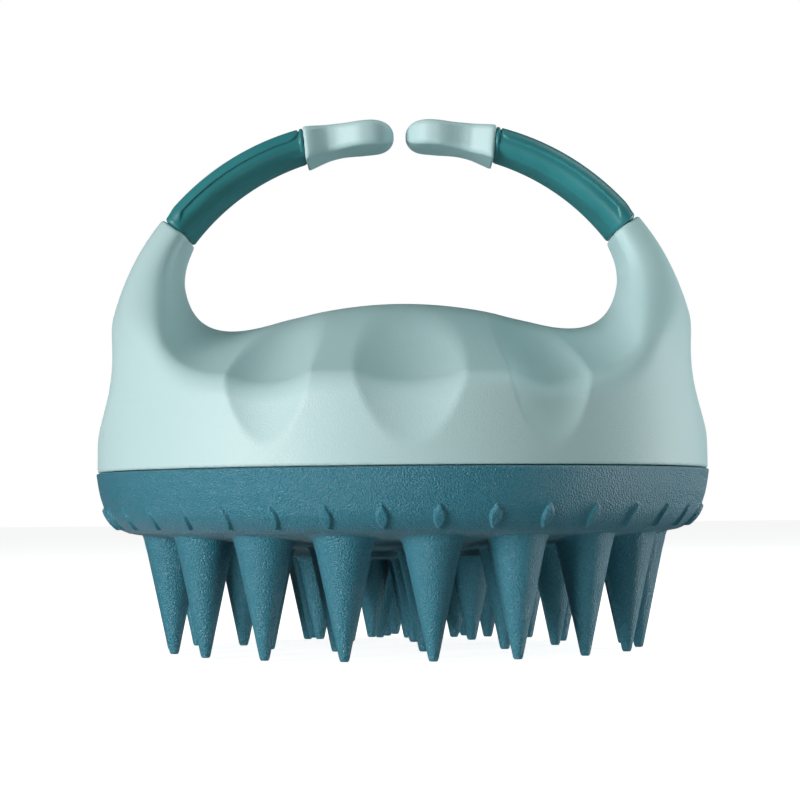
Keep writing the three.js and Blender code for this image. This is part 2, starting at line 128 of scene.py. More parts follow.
def cell_points(field, active):
    """For each crossed cell, the mean of the places where its edges cross the surface."""
    total = np.zeros((len(active), 3))
    hits = np.zeros(len(active))
    for corner in CELL_CORNERS:
        for axis in (a for a in range(3) if not corner[a]):
            other = np.array(corner)
            other[axis] = 1
            a = field[tuple((active + corner).T)]
            b = field[tuple((active + other).T)]
            crosses = (a < 0) != (b < 0)
            share = np.where(crosses, a / np.where(crosses, a - b, 1), 0)
            point = np.tile(np.array(corner, float), (len(active), 1))
            point[:, axis] += share
            total += point * crosses[:, None]
            hits += crosses
    return active + total / hits[:, None]


def cell_quads(inside, number):
    """One quad across each grid edge that the surface crosses, facing out."""
    loops = []
    axes = np.eye(3, dtype=int)
    for axis in range(3):
        u, v = axes[(axis + 1) % 3], axes[(axis + 2) % 3]
        near = inside[tuple(slice(0, n - (a == axis)) for a, n in enumerate(inside.shape))]
        far = inside[tuple(slice(int(a == axis), n) for a, n in enumerate(inside.shape))]
        at = np.argwhere(near != far)
        loop = np.stack([number[tuple(c.T)] for c in (at - u - v, at - v, at, at - u)], 1)
        leaves = near[tuple(at.T)]
        loop[~leaves] = loop[~leaves][:, ::-1]
        loops.append(loop)
    return np.concatenate(loops)


def sampled(distance, low, high, step):
    """The distance at each point of a grid that fills the box."""
    counts = np.ceil((high - low) / step).astype(int) + 1
    axes = [low[a] + np.arange(counts[a]) * step for a in range(3)]
    field = np.empty(counts)
    yy, zz = np.meshgrid(axes[1], axes[2], indexing="ij")
    for i, x in enumerate(axes[0]):
        slab = np.stack([np.full(yy.size, x), yy.ravel(), zz.ravel()], 1)
        field[i] = distance(slab).reshape(yy.shape)
    return field


def settled(points, distance, step):
    """The points moved on to the surface, by at most part of a step at a time."""
    for _ in range(SETTLING_ROUNDS):
        slope = slope_at(points, distance)
        size = np.maximum((slope ** 2).sum(1), LEAST_SLOPE)
        move = (distance(points) / size)[:, None] * slope
        length = np.linalg.norm(move, axis=1, keepdims=True)
        points = points - move * np.minimum(1, LONGEST_MOVE * step / np.maximum(length, TINY))
    return points


def moulded(distance, low, high, step):
    """The zero surface of a distance function in a box: points, quads and normals."""
    field = sampled(distance, low, high, step)
    inside = field < 0
    active, number = crossed_cells(inside)
    points = settled(low + cell_points(field, active) * step, distance, step)
    slope = slope_at(points, distance)
    return points, cell_quads(inside, number), slope / np.linalg.norm(slope, axis=1, keepdims=True)


# ---------------------------------------------------------------- meshes
class Skin:
    """The points and faces of a mesh that is joined ring by ring."""

    def __init__(self):
        self.points = []
        self.faces = []

    def add_ring(self, ring):
        start = len(self.points)
        self.points.extend(ring)
        return list(range(start, start + len(ring)))

    def join(self, lower, upper):
        count = len(lower)
        for j in range(count):
            k = (j + 1) % count
            self.faces.append((lower[j], lower[k], upper[k], upper[j]))


def add_mesh(name, points, faces, material, normals=None):
    mesh = bpy.data.meshes.new(name)
    mesh.from_pydata((np.asarray(points) * MM).tolist(), [], faces)
    mesh.update()
    mesh.shade_smooth()
    if normals is not None:
        mesh.normals_split_custom_set_from_vertices(normals.tolist())
    mesh.materials.append(material)
    piece = bpy.data.objects.new(name, mesh)
    bpy.context.scene.collection.objects.link(piece)
    return piece


# ---------------------------------------------------------------- materials
def new_material(name):
    material = bpy.data.materials.new(name)
    material.use_nodes = True
    nodes = material.node_tree.nodes
    return material, nodes, material.node_tree.links, nodes["Principled BSDF"]


def noise(nodes, links, scale, detail=2.0, roughness=0.5):
    coordinates = nodes.new("ShaderNodeTexCoord")
    texture = nodes.new("ShaderNodeTexNoise")
    texture.inputs["Scale"].default_value = scale
    texture.inputs["Detail"].default_value = detail
    texture.inputs["Roughness"].default_value = roughness
    links.new(coordinates.outputs["Object"], texture.inputs["Vector"])
    return texture.outputs["Fac"]


def spread(nodes, links, source, low, high, start=0.3, end=0.7):
    ranged = nodes.new("ShaderNodeMapRange")
    ranged.inputs["From Min"].default_value = start
    ranged.inputs["From Max"].default_value = end
    ranged.inputs["To Min"].default_value = low
    ranged.inputs["To Max"].default_value = high
    links.new(source, ranged.inputs["Value"])
    return ranged.outputs["Result"]


def mixed(nodes, links, factor, first, second):
    mix = nodes.new("ShaderNodeMix")
    mix.data_type = "RGBA"
    mix.inputs["A"].default_value = (*first, 1)
    mix.inputs["B"].default_value = (*second, 1)
    links.new(factor, mix.inputs["Factor"])
    return mix.outputs["Result"]


def bumped(nodes, links, height, strength, distance):
    bump = nodes.new("ShaderNodeBump")
    bump.inputs["Strength"].default_value = strength
    bump.inputs["Distance"].default_value = distance
    links.new(height, bump.inputs["Height"])
    return bump.outputs["Normal"]


def mint_plastic():
    material, nodes, links, shader = new_material("mint_plastic")
    blotch = spread(nodes, links, noise(nodes, links, scale=40), 0, 1)
    colour = mixed(nodes, links, blotch, (0.51, 0.735, 0.745), (0.54, 0.755, 0.765))
    grain = noise(nodes, links, scale=5200)
    relief = bumped(nodes, links, grain, strength=0.5, distance=0.00009)
    links.new(colour, shader.inputs["Base Color"])
    links.new(spread(nodes, links, grain, 0.42, 0.58), shader.inputs["Roughness"])
    links.new(relief, shader.inputs["Normal"])
    shader.inputs["IOR"].default_value = 1.5
    return material


def teal_silicone():
    material, nodes, links, shader = new_material("teal_silicone")
    fine = noise(nodes, links, scale=5200, roughness=0.6)
    speck = spread(nodes, links, fine, 0, 1, start=0.35, end=0.65)
    colour = mixed(nodes, links, speck, (0.012, 0.178, 0.250), (0.034, 0.258, 0.352))
    grain = noise(nodes, links, scale=4600)
    relief = bumped(nodes, links, grain, strength=0.9, distance=0.0003)
    links.new(colour, shader.inputs["Base Color"])
    links.new(spread(nodes, links, grain, 0.26, 0.40), shader.inputs["Roughness"])
    links.new(relief, shader.inputs["Normal"])
    shader.inputs["IOR"].default_value = 1.62
    shader.inputs["Sheen Weight"].default_value = 0.30
    shader.inputs["Sheen Roughness"].default_value = 0.4
    shader.inputs["Sheen Tint"].default_value = (0.85, 0.92, 1, 1)
    return material


def teal_sleeve():
    material, nodes, links, shader = new_material("teal_sleeve")
    blotch = spread(nodes, links, noise(nodes, links, scale=160), 0, 1)
    colour = mixed(nodes, links, blotch, (0.024, 0.205, 0.225), (0.032, 0.245, 0.265))
    grain = noise(nodes, links, scale=2400)
    relief = bumped(nodes, links, grain, strength=0.15, distance=0.00005)
    links.new(colour, shader.inputs["Base Color"])
    links.new(spread(nodes, links, grain, 0.34, 0.46), shader.inputs["Roughness"])
    links.new(relief, shader.inputs["Normal"])
    return material


def zinc_steel():
    material, nodes, links, shader = new_material("zinc_steel")
    grain = noise(nodes, links, scale=900, detail=3)
    colour = mixed(nodes, links, grain, (0.52, 0.53, 0.55), (0.70, 0.70, 0.72))
    links.new(colour, shader.inputs["Base Color"])
    links.new(spread(nodes, links, grain, 0.25, 0.42), shader.inputs["Roughness"])
    shader.inputs["Metallic"].default_value = 1
    return material


def pale_ground():
    """A floor that glows enough to stay near white."""
    material, nodes, links, shader = new_material("pale_floor")
    colour = mixed(nodes, links, noise(nodes, links, scale=3), (0.93, 0.93, 0.93), (0.9207, 0.9207, 0.9207))
    links.new(colour, shader.inputs["Base Color"])
    shader.inputs["Roughness"].default_value = 0.9
    shader.inputs["Specular IOR Level"].default_value = 0.1
    shader.inputs["Emission Color"].default_value = (1, 1, 1, 1)
    shader.inputs["Emission Strength"].default_value = 0.86
    return material


MINT = mint_plastic()
SILICONE = teal_silicone()
SLEEVE = teal_sleeve()
STEEL = zinc_steel()


# ---------------------------------------------------------------- shell
CROWN_TOP = 48.9
CROWN_DROP = 0.0088
CROWN_EASE = 1.13e-6
CROWN_THICKNESS = 4.5
WALL_LEAN = 0.00334
WALL_EASE = 3.03e-6
SHOULDER_ROUNDING = 2.2
HORN_EXTRA_ROUNDING = 1.4
EXTRA_ROUNDING_HEIGHTS = (40, 50)
FOOT_ROUNDING = 0.35
END_ROUNDING = 0.5
LINER_THICKNESS = 3.0
LINER_LEAN = 0.25
LINER_LEAN_FROM = 28
CAVITY_ROUNDING = 6.0

SCOOP_CENTRES = ((-17.4, 5.7), (1.1, 7.1), (19.4, 5.6))
SCOOP_DEPTH = 1.9
SCOOP_LEAN = 0.3
SCOOP_LEAN_REACH = 37
SCOOP_UP_REACH = 22
SCOOP_UP_POWER = 1.8
SCOOP_DOWN_REACH = 8.8
SCOOP_DOWN_POWER = 1.25
SCOOP_EDGE = 0.25
SCOOP_EDGE_GROWTH = 0.7
SCOOP_FADE_HEIGHTS = (49, 52)
SHOULDER_Z = 36.8
SHOULDER_RADIUS = 40.0
SIDE_SCOOP_DEPTH = 1.6
SIDE_SCOOP_Z = 38.2
SIDE_SCOOP_REACH = 8.0
SIDE_SCOOP_HALF = 15.5
SIDE_SCOOP_EDGE = 0.6

LOOP_HALF = 31.5
LOOP_MIDDLE_Z = 52.0
LOOP_LEAN = 0.046
LOOP_FLARE = 0.0045
DIP_FILLET = 13.8
HORN_TOP_Z = 60
HORN_HALF_WIDTH = 7.9
HORN_WIDENING = 0.42
HORN_WIDENING_GROWTH = 0.0335
HORN_EDGE = 3.0
SLOT_HALF = 1.6
SLOT_HALF_WIDTH = 4.6
SLOT_DEPTH = 4.6
BELOW_THE_LOOP = 100

SHELL_STEP = 0.42
SIDE_MARGIN = 1.5
TOP_MARGIN = 2.5


def crown_z(radius):
    return CROWN_TOP - CROWN_DROP * radius ** 2 + CROWN_EASE * radius ** 4


def wall_distance(p):
    """How far outside the turned outer surface that the dome's wall and the horns share."""
    x, y, z = p.T
    rise = np.maximum(z - SHELL_BOTTOM, 0)
    limit = SHELL_RADIUS - WALL_LEAN * rise ** 2 - WALL_EASE * rise ** 4
    lean = 2 * WALL_LEAN * rise + 4 * WALL_EASE * rise ** 3
    up = (z - SIDE_SCOOP_Z) / SIDE_SCOOP_REACH
    scoop = SIDE_SCOOP_DEPTH * (1 - up ** 2 - (y / SIDE_SCOOP_HALF) ** 2)
    outside = (np.hypot(x, y) - limit) / np.sqrt(1 + lean ** 2)
    return outside + smooth_max(scoop, 0 * z, SIDE_SCOOP_EDGE)


def horn_distance(p):
    """The solid that a horn is cut from, apart from its outer side and its end."""
    x, y, z = p.T
    above = np.maximum(z - LOOP_MIDDLE_Z, 0)
    inner = LOOP_HALF - LOOP_LEAN * above ** 2 + LOOP_FLARE * y ** 2
    steepness = 1 + (2 * LOOP_LEAN * above) ** 2 + (2 * LOOP_FLARE * y) ** 2
    flank = (inner - np.abs(x)) / np.sqrt(steepness)
    below = np.maximum(HORN_TOP_Z - z, 0)
    width = HORN_HALF_WIDTH + HORN_WIDENING * below + HORN_WIDENING_GROWTH * below ** 2
    spreading = HORN_WIDENING + 2 * HORN_WIDENING_GROWTH * below
    side = (np.abs(y) - width) / np.sqrt(1 + spreading ** 2)
    return smooth_max(flank, side, HORN_EDGE)


def horn_end(p):
    """The plane that a horn ends on, and the slot inside it for the arm's core."""
    x, y, z = p.T
    across = np.abs(x) - ARM_CENTRE_X
    turn = math.radians(JOINT_ANGLE)
    end = -math.sin(turn) * across + math.cos(turn) * (z - ARM_CENTRE_Z)
    off = np.abs(np.hypot(across, z - ARM_CENTRE_Z) - ARM_RADIUS) - SLOT_HALF
    slot = np.maximum(np.maximum(off, np.abs(y) - SLOT_HALF_WIDTH), -SLOT_DEPTH - end)
    return end, slot


def scoop_depth(p):
    """How deep the finger scoops are: deepest at the shoulder, fading up the crown and down the wall."""
    x, y, z = p.T
    radius = np.hypot(x, y)
    up = np.maximum((SHOULDER_RADIUS - radius) / SCOOP_UP_REACH, 0)
    down = np.maximum((SHOULDER_Z - z) / SCOOP_DOWN_REACH, 0)
    along = up ** SCOOP_UP_POWER + down ** SCOOP_DOWN_POWER
    inward = np.clip((SCOOP_LEAN_REACH - np.abs(y)) / SCOOP_LEAN_REACH, 0, 1)
    deepest = np.zeros_like(z)
    for centre, half in SCOOP_CENTRES:
        middle = centre * (1 - SCOOP_LEAN * inward)
        depth = SCOOP_DEPTH * (1 - along - ((x - middle) / half) ** 2)
        deepest = smooth_max(deepest, depth, SCOOP_EDGE + SCOOP_EDGE_GROWTH * up)
    return deepest * (1 - smoothstep(z, *SCOOP_FADE_HEIGHTS))


def shell_distance(p):
    x, y, z = p.T
    radius = np.hypot(x, y)
    fall = 2 * CROWN_DROP * radius - 4 * CROWN_EASE * radius ** 3
    crown = (z - crown_z(radius)) / np.sqrt(1 + fall ** 2)
    top = smooth_min(crown, horn_distance(p), DIP_FILLET)
    rounding = SHOULDER_ROUNDING + HORN_EXTRA_ROUNDING * smoothstep(z, *EXTRA_ROUNDING_HEIGHTS)
    outer = smooth_max(wall_distance(p), top, rounding) + scoop_depth(p)
    end, slot = horn_end(p)
    outer = smooth_max(outer, end - BELOW_THE_LOOP * (z < LOOP_MIDDLE_Z), END_ROUNDING)
    outer = np.maximum(outer, -slot)
    outer = smooth_max(outer, SHELL_BOTTOM - z, FOOT_ROUNDING)
    roof = z - (crown_z(radius) - CROWN_THICKNESS)
    liner = SHELL_RADIUS - LINER_THICKNESS - LINER_LEAN * np.maximum(z - LINER_LEAN_FROM, 0)
    cavity = smooth_max(radius - liner, roof, CAVITY_ROUNDING)
    return np.maximum(outer, -cavity)


def make_shell():
    step = SHELL_STEP
    low = SHELL_LOW - SIDE_MARGIN
    high = SHELL_HIGH + (SIDE_MARGIN, SIDE_MARGIN, TOP_MARGIN)
    points, quads, normals = moulded(shell_distance, low, high, step)
    piece = add_mesh("shell_skin", points, quads.tolist(), MINT, normals)
    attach(piece, BODY)
    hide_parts("upper_shell")


# ---------------------------------------------------------------- sleeves
SLEEVE_LENGTH = math.radians(TIP_ANGLE - JOINT_ANGLE) * ARM_RADIUS
SLEEVE_CORNER = 1.5
INNER_CORNER_EXTRA = 0.5
INNER_CORNER_BAND = 1.5
INNER_CROWN = 0.016
OUTER_CROWN = 0.004
SLEEVE_END_GAP = 0.02
SLEEVE_END_ROUNDING = 0.5

PANEL_RISE = 0.28
PANEL_RISE_BAND = (0.1, 2.4)
PANEL_REACH = 1.35
PANEL_START = 0.3
PANEL_START_REACH = 0.9
PANEL_START_BAND = (0.6, 2.6)
PANEL_START_ROUNDING = 0.1
PANEL_CORNER_ROUNDING = 1.4
PANEL_END_ROUNDING = 0.2
PANEL_EDGE_ROUNDING = 0.16
PANEL_CREASE = 0.12
COLLAR = 0.55
COLLAR_GROOVE = 0.22
COLLAR_REACH = 0.8
COLLAR_END_ROUNDING = 0.3

SLEEVE_STEP = 0.16
SLEEVE_BOX_LOW = np.array((-0.8, -3.2, -8.9))
SLEEVE_BOX_HIGH = np.array((SLEEVE_LENGTH + 0.8, 3.6, 8.9))


def arm_frame(s, n, y, side):
    """From along-the-arm coordinates to X, Y, Z. s runs from the horn to the tip, n outwards."""
    angle = math.radians(JOINT_ANGLE) + s / ARM_RADIUS
    reach = ARM_RADIUS + n
    x = ARM_CENTRE_X + reach * np.cos(angle)
    z = ARM_CENTRE_Z + reach * np.sin(angle)
    return np.stack([side * x, y, z], 1)


def sleeve_section(p):
    """How far outside the sleeve's plain rounded bar, and the bar's half thickness there."""
    s, n, y = p.T
    share = np.clip(s / SLEEVE_LENGTH, 0, 1)
    half = SLEEVE_HALF[0] + (SLEEVE_HALF[1] - SLEEVE_HALF[0]) * share
    width = SLEEVE_HALF_WIDTH[0] + (SLEEVE_HALF_WIDTH[1] - SLEEVE_HALF_WIDTH[0]) * share
    corner = SLEEVE_CORNER + INNER_CORNER_EXTRA * smoothstep(-n, 0, INNER_CORNER_BAND)
    crowning = np.where(n < 0, INNER_CROWN, OUTER_CROWN) * y ** 2
    a = np.abs(n) - half + corner + crowning
    b = np.abs(y) - width + corner
    outside = np.hypot(np.maximum(a, 0), np.maximum(b, 0))
    return outside + np.minimum(np.maximum(a, b), 0) - corner, half


def sleeve_distance(p):
    """The sleeve in arm coordinates: a rounded bar, a raised panel over its outer face and a collar."""
    s, n, _ = p.T
    around, half = sleeve_section(p)
    after = s - SLEEVE_LENGTH - TIP_JOINT_LEAN * n
    ends = np.maximum(-s, after) + SLEEVE_END_GAP
    rise = PANEL_RISE * smoothstep(s, *PANEL_RISE_BAND)
    reach = PANEL_REACH + PANEL_START_REACH * (1 - smoothstep(s, *PANEL_START_BAND))
    from_ends = smooth_max(PANEL_START - s, after + COLLAR + COLLAR_GROOVE, PANEL_START_ROUNDING)
    region = smooth_max(from_ends, half - n - reach, PANEL_CORNER_ROUNDING)
    collar = np.maximum(-COLLAR - after, COLLAR_REACH - half - n)
    body = smooth_max(around, ends, SLEEVE_END_ROUNDING)
    panel = smooth_max(around - rise, smooth_max(region, ends, PANEL_END_ROUNDING), PANEL_EDGE_ROUNDING)
    rim = smooth_max(around - PANEL_RISE, collar, PANEL_EDGE_ROUNDING)
    rim = smooth_max(rim, ends, COLLAR_END_ROUNDING)
    return smooth_min(smooth_min(body, panel, PANEL_CREASE), rim, PANEL_CREASE)


def make_sleeve(side_name, side):
    step = SLEEVE_STEP
    points, quads, _ = moulded(sleeve_distance, SLEEVE_BOX_LOW, SLEEVE_BOX_HIGH, step)
    placed = arm_frame(points[:, 0], points[:, 1], points[:, 2], side)
    if side > 0:
        quads = quads[:, ::-1]
    piece = add_mesh(f"{side_name}_sleeve_skin", placed, quads.tolist(), SLEEVE)
    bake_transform(piece)
    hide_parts(f"{side_name}_grip_sleeve")


# ---------------------------------------------------------------- tips
TIP_END_X = 0.85
PADDLE_X = 5.2
WAIST_X = 9.5
WAIST_END_X = WAIST_X + 0.4
FULL_WIDTH_X = 13.2
WAIST_HALF = 4.9
PADDLE_HALF = 6.3
JOINT_HALF = 6.5
PADDLE_POWER = 2.4

TIP_UPPER_Z = 74.85
TIP_LOWER_Z = 71.3
PADDLE_UPPER_DROP = 0.35
PADDLE_UPPER_BAND = (3.5, 8.5)
JOINT_UPPER_DROP = 0.72
JOINT_UPPER_BAND = (8.0, 15.5)
PADDLE_LOWER_DROP = 0.25
PADDLE_LOWER_BAND = (3.5, 7.0)
JOINT_LOWER_DROP = 2.35
JOINT_LOWER_X = 6.2
JOINT_LOWER_LENGTH = 8.0
JOINT_LOWER_POWER = 1.5
NOSE_X = 4.2
NOSE_POWER = 2.5

TIP_GAP = 0.05
TIP_RINGS = 110
TIP_CORNER = 0.9
TIP_CORNER_STEPS = 10
TIP_SIDE_STEPS = 8
TIP_EDGE_EASE = 0.045
TIP_EDGE_RINGS = 2
JOINT_HALF_HEIGHT = 2.4


def tip_half_width(x):
    """Half the tip's width in plan: wide at the joint, a waist, a paddle and a round end."""
    to_paddle = WAIST_HALF + (PADDLE_HALF - WAIST_HALF) * (1 - smoothstep(x, PADDLE_X, WAIST_X))
    to_joint = WAIST_HALF + (JOINT_HALF - WAIST_HALF) * smoothstep(x, WAIST_END_X, FULL_WIDTH_X)
    share = np.clip((PADDLE_X - x) / (PADDLE_X - TIP_END_X), 0, 1)
    end = PADDLE_HALF * np.maximum(1 - share ** PADDLE_POWER, 0) ** (1 / PADDLE_POWER)
    return np.where(x < PADDLE_X, end, np.where(x < WAIST_X, to_paddle, to_joint))


def tip_lines(x):
    """The middle height and half height of the tip as seen from the front."""
    paddle_drop = PADDLE_UPPER_DROP * smoothstep(x, *PADDLE_UPPER_BAND)
    upper = TIP_UPPER_Z - paddle_drop - JOINT_UPPER_DROP * smoothstep(x, *JOINT_UPPER_BAND)
    to_joint = np.clip((x - JOINT_LOWER_X) / JOINT_LOWER_LENGTH, 0, 1) ** JOINT_LOWER_POWER
    paddle_drop = PADDLE_LOWER_DROP * smoothstep(x, *PADDLE_LOWER_BAND)
    lower = TIP_LOWER_Z - paddle_drop - JOINT_LOWER_DROP * to_joint
    share = np.clip((NOSE_X - x) / (NOSE_X - TIP_END_X), 0, 1)
    closing = np.maximum(1 - share ** NOSE_POWER, 0) ** (1 / NOSE_POWER)
    return (upper + lower) / 2, (upper - lower) / 2 * closing


def rounded_section(half_width, half_height):
    """Points round a rectangle with round corners, as many for any size."""
    radius = min(TIP_CORNER, half_width, half_height)
    points = []
    for sign_w, sign_h, quarter in ((1, 1, 0), (-1, 1, 1), (-1, -1, 2), (1, -1, 3)):
        for k in range(TIP_CORNER_STEPS + 1):
            a = math.pi / 2 * (quarter + k / TIP_CORNER_STEPS)
            across = sign_w * (half_width - radius) + radius * math.cos(a)
            points.append((across, sign_h * (half_height - radius) + radius * math.sin(a)))
    filled = []
    for k, point in enumerate(points):
        filled.append(point)
        if (k + 1) % (TIP_CORNER_STEPS + 1) == 0:
            after = points[(k + 1) % len(points)]
            for j in range(1, TIP_SIDE_STEPS):
                t = j / TIP_SIDE_STEPS
                filled.append(tuple(p + (q - p) * t for p, q in zip(point, after)))
    return np.array(filled)


def tip_rings():
    """Rings of points along the right tip, from its joint with the sleeve to its rounded end."""
    joint = math.radians(TIP_ANGLE)
    joint_x = ARM_CENTRE_X + ARM_RADIUS * math.cos(joint) - TIP_GAP
    tilt = JOINT_HALF_HEIGHT * (math.cos(joint) - TIP_JOINT_LEAN)
    rings = []
    for i in range(TIP_RINGS):
        t = i / (TIP_RINGS - 1)
        middle_x = joint_x + (TIP_END_X - joint_x) * math.sin(t * math.pi / 2)
        half_height = tip_lines(middle_x)[1]
        section = rounded_section(tip_half_width(middle_x), half_height)
        upright = section[:, 1] / max(half_height, TINY)
        x = middle_x + tilt * upright * (1 - t) ** 2
        middle, half = tip_lines(x)
        shrink = 1 - TIP_EDGE_EASE * max(0, 1 - i / TIP_EDGE_RINGS) ** 2
        rings.append(np.stack([x, section[:, 0] * shrink, middle + half * upright * shrink], 1))
    return rings


def make_tip(side_name, side):
    skin = Skin()
    rings = [skin.add_ring((ring * (side, 1, 1)).tolist()) for ring in tip_rings()]
    for lower, upper in zip(rings[:-1], rings[1:]):
        skin.join(lower, upper)
    skin.faces.append(tuple(rings[0])[::-1])
    skin.faces.append(tuple(rings[-1]))
    faces = skin.faces if side < 0 else [face[::-1] for face in skin.faces]
    piece = add_mesh(f"{side_name}_tip_skin", skin.points, faces, MINT)
    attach(piece, f"{side_name}_arm")
    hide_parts(f"{side_name}_arm_tip")


# ---------------------------------------------------------------- pad and bristles
UNDER_EDGE = 38.1
UNDER_EDGE_Z = 16.55
UNDER_DOME = 3.2
DISC_EDGE = 17.3
DISC_EASE = 0.3
DISC_DEPTH = 0.7

# Radius and height, from the underside's edge up the bevel, and on round the lip to its inside.
BEVEL = (
    (38.8, 16.68), (39.5, 16.95), (40.1, 17.3), (40.7, 17.75), (41.25, 18.3),
    (41.7, 18.9), (42.07, 19.6), (42.37, 20.4), (42.63, 21.2), (42.79, 21.7), (42.93, 22.3),
)
LIP = (
    (42.93, 22.3), (43.05, 22.9), (43.17, 23.6), (43.27, 24.3), (43.34, 24.7), (43.34, 24.9),
    (43.28, 25.02), (43.12, 25.08), (41.2, 25.08), (40.9, 24.95), (40.75, 24.6),
    (40.7, 21.0), (40.7, 19.6), (40.2, 19.3),
)
BEVEL_STEP = 0.17
LID_Z = 16.6
LID_SHARE = 0.5

RIB_COUNT = 36
RIB_PITCH = 2 * math.pi / RIB_COUNT
RIB_PHASE = math.radians(6.4)
RIB_RISE = 0.40
RIB_RISE_EASE = 0.4
RIB_HALF_WIDTH = 0.92
RIB_HALF_LENGTH = 1.6
RIB_MIDDLE_Z = 18.75
RIB_BAND = (16.9, 20.7)
RIB_INNER_RADIUS = 38
RIB_NEAR_DEGREES = 1.45
RIB_SAMPLES = 33
BETWEEN_SAMPLES = 8

GRID_PITCH = 1.1
GRID_DISC_RADII = (16.9, 17.15, 17.45, 17.7)
GRID_OUTER_RADII = (18.5, 37.0)
GRID_CLEARANCE = 0.35
FOOT_SHARE = 0.9
SAME_POINT = 1e-6

CONE_STEPS = 40
CONE_TIP_RADIUS = 0.6
SEAT_LIFT = 0.2
FILLET_REACH = 0.255
FILLET_CLEARANCE = 0.04
FILLET_DEPTH = 0.7
FILLET_DEPTH_POWER = 1.5
FILLET_REACH_POWER = 1.8
FILLET_RINGS = 6
SIDE_RINGS = 12
TIP_BAND = 0.45
TIP_ROUNDING = ((0.62, 0.2), (0.52, 0.04), (0.42, 0))


def under_z(radius):
    """The pad's underside: a shallow dome with a slightly thicker middle."""
    dome = UNDER_EDGE_Z - UNDER_DOME * (1 - (radius / UNDER_EDGE) ** 2)
    return dome - DISC_DEPTH * (1 - smoothstep(radius, DISC_EDGE - DISC_EASE, DISC_EDGE + DISC_EASE))


def on_underside(xs, ys):
    return [(x, y, float(under_z(math.hypot(x, y)))) for x, y in zip(xs, ys)]


def circle(x, y, radius):
    around = np.arange(CONE_STEPS) / CONE_STEPS * 2 * math.pi
    return x + radius * np.sin(around), y - radius * np.cos(around)


def bristle_facts():
    """Centre, seat radius, tip height and name of each bristle, from its CAD node."""
    found = []
    for name in sorted(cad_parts):
        if name.startswith("bristle_") and name != "bristle_pad":
            low, high = box_mm(name)
            centre = (low + high) / 2
            found.append((centre[0], centre[1], (high[1] - low[1]) / 2, low[2], name))
    return found


def fillet_reaches(cones):
    """How far each bristle's root fillet spreads, kept clear of its nearest neighbour."""
    reaches = []
    for i, (x, y, radius, _, _) in enumerate(cones):
        gaps = [math.hypot(x - c[0], y - c[1]) - radius - c[2] for j, c in enumerate(cones) if j != i]
        reaches.append(min(FILLET_REACH, min(gaps) / 2 - FILLET_CLEARANCE))
    return reaches


def rim_profile():
    """The rim from the underside's edge round the lip: radius and height, close together on the bevel."""
    corners = np.array([(UNDER_EDGE, under_z(UNDER_EDGE)), *BEVEL])
    fine = []
    for a, b in zip(corners[:-1], corners[1:]):
        steps = max(1, int(np.linalg.norm(b - a) / BEVEL_STEP))
        fine += [tuple(a + (b - a) * k / steps) for k in range(steps)]
    return np.array([*fine, *LIP])


def rim_angles():
    """Angles round the rim, closest together where a rib crosses."""
    half = math.degrees(RIB_PITCH / 2)
    samples = RIB_SAMPLES
    near = np.linspace(-RIB_NEAR_DEGREES, RIB_NEAR_DEGREES, samples)
    left = np.linspace(-half, near[0], BETWEEN_SAMPLES)[:-1]
    right = np.linspace(near[-1], half, BETWEEN_SAMPLES)[1:-1]
    pitch = np.concatenate([left, near, right])
    turns = RIB_PHASE + np.arange(RIB_COUNT) * RIB_PITCH
    return (turns[:, None] + np.radians(pitch)[None, :]).ravel()


def rib_rise(theta, radius, z):
    """How far a rib stands out: a pointed leaf on the bevel, one every ten degrees."""
    off = (theta - RIB_PHASE + RIB_PITCH / 2) % RIB_PITCH - RIB_PITCH / 2
    across = np.abs(off) * radius / RIB_HALF_WIDTH
    along = (z - RIB_MIDDLE_Z) / RIB_HALF_LENGTH
    return RIB_RISE * smoothstep(1 - along ** 2 - across, 0, RIB_RISE_EASE)


def add_rim(skin):
    """The rim with its ribs. Returns its first ring, at the underside, and its last, inside the lip."""
    theta = rim_angles()
    profile = rim_profile()
    tangent = np.gradient(profile, axis=0)
    normal = np.stack([tangent[:, 1], -tangent[:, 0]], 1)
    normal /= np.linalg.norm(normal, axis=1, keepdims=True)
    rings = []
    for (radius, z), (nr, nz) in zip(profile, normal):
        ribbed = RIB_BAND[0] < z < RIB_BAND[1] and radius > RIB_INNER_RADIUS
        rise = rib_rise(theta, radius, z) if ribbed else 0 * theta
        reach = radius + rise * nr
        ring = np.stack([reach * np.sin(theta), -reach * np.cos(theta), z + rise * nz], 1)
        rings.append(skin.add_ring(ring.tolist()))
    for lower, upper in zip(rings[:-1], rings[1:]):
        skin.join(lower, upper)
    return rings[0], rings[-1]


def underside_grid(cones, reaches):
    """Places for the underside's own points, clear of the bristles' feet."""
    inner = np.arange(0, GRID_DISC_RADII[0], GRID_PITCH)
    outer = np.arange(*GRID_OUTER_RADII, GRID_PITCH)
    places = []
    for radius in np.concatenate([inner, GRID_DISC_RADII, outer]):
        count = max(1, int(2 * math.pi * radius / GRID_PITCH))
        stagger = int(radius * 10) % 2 / 2
        for k in range(count):
            a = 2 * math.pi * (k + stagger) / count
            places.append((radius * math.sin(a), -radius * math.cos(a)))
    places = np.array(places)
    keep = np.ones(len(places), bool)
    for (x, y, seat_radius, _, _), reach in zip(cones, reaches):
        clear = seat_radius + reach + GRID_CLEARANCE
        keep &= np.hypot(places[:, 0] - x, places[:, 1] - y) > clear
    return places[keep]


def in_a_foot(place, cones, reaches):
    for (x, y, seat_radius, _, _), reach in zip(cones, reaches):
        if math.hypot(place.x - x, place.y - y) < seat_radius + reach * FOOT_SHARE:
            return True
    return False


